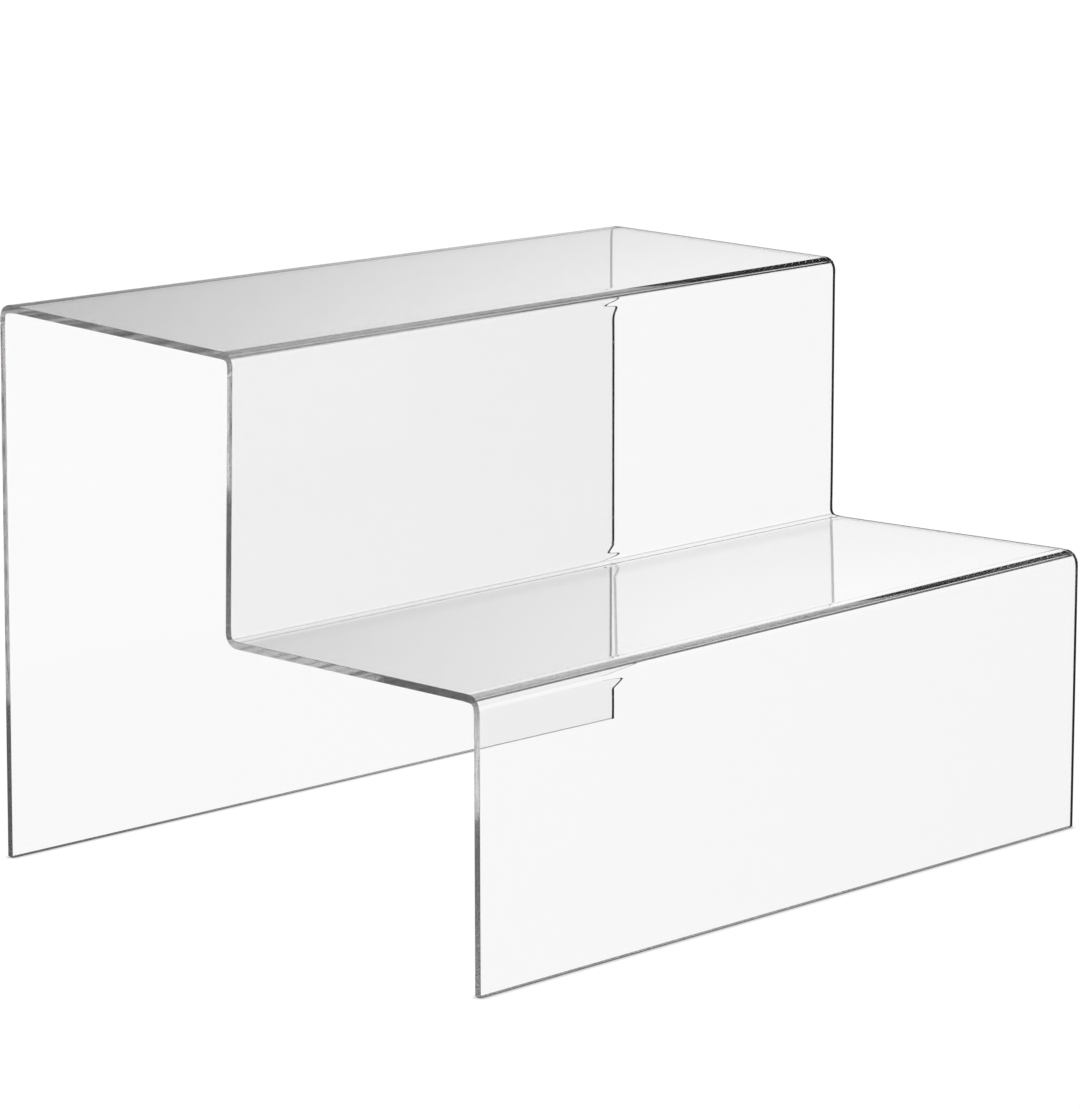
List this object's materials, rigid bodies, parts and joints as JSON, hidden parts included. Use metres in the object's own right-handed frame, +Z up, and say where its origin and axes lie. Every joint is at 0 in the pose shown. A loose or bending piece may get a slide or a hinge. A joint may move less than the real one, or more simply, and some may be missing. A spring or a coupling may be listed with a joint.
{
  "type": "tiered shelf riser",
  "caption": "Clear step riser line-bent from one acrylic sheet, with an upper and a lower display shelf on open-ended legs.",
  "frame": {"origin": "on the table, under the middle of the riser", "axes": "+X along the length, -Y towards the front (the lower shelf's side), +Z up"},
  "size_m": [0.385, 0.3, 0.25],
  "materials": {
    "clear_acrylic": "colourless cast acrylic, polished faces, saw-cut and polished edges that look darker"
  },
  "bodies": {
    "root": {"bent_sheet": "clear_acrylic"}
  },
  "joints": []
}
